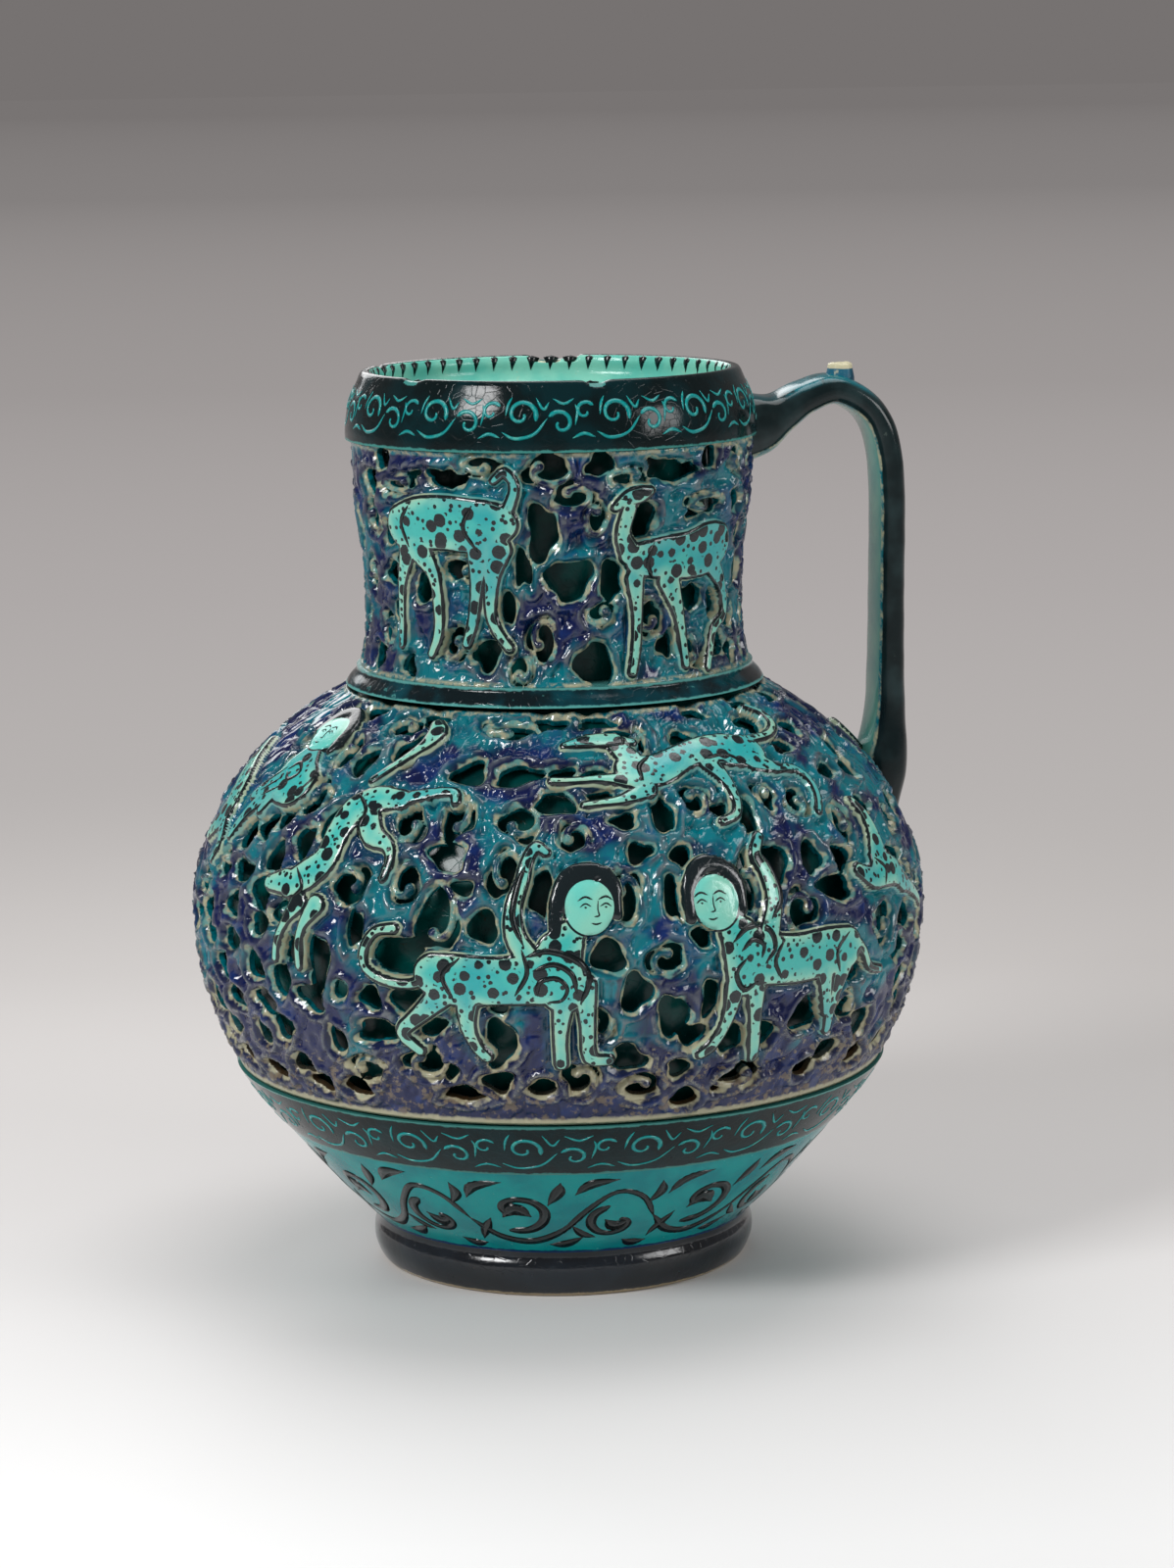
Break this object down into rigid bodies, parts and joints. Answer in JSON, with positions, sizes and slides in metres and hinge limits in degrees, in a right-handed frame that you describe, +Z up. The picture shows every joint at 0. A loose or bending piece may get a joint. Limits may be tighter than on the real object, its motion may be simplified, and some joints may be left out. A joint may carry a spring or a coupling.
{
  "type": "pierced double-walled jug",
  "caption": "Glazed ceramic jug with an openwork outer shell of scrolls and beasts over a plain inner vessel, a rim band, a foot ring and a strap handle.",
  "frame": {"origin": "centre of the foot's resting face, on the jug's axis", "axes": "+Z up along the jug's axis, +X towards the handle"},
  "size_m": [0.168, 0.168, 0.203],
  "materials": {
    "black_glaze": "gloss",
    "turquoise_glaze": "gloss",
    "openwork_glaze": "gloss, worn at the edges",
    "inner_glaze": "gloss",
    "handle_glaze": "gloss"
  },
  "bodies": {
    "root": {"foot_ring": "black_glaze", "lower_bowl": "turquoise_glaze", "lower_band": "black_glaze", "belly_openwork": "openwork_glaze", "collar_ring": "black_glaze", "neck_openwork": "openwork_glaze", "rim_band": "black_glaze", "inner_bowl": "inner_glaze", "inner_shoulder": "inner_glaze", "inner_neck": "inner_glaze", "handle": "handle_glaze", "handle_root_upper": "handle_glaze", "handle_root_lower": "handle_glaze", "thumb_knob": "handle_glaze"}
  },
  "joints": []
}
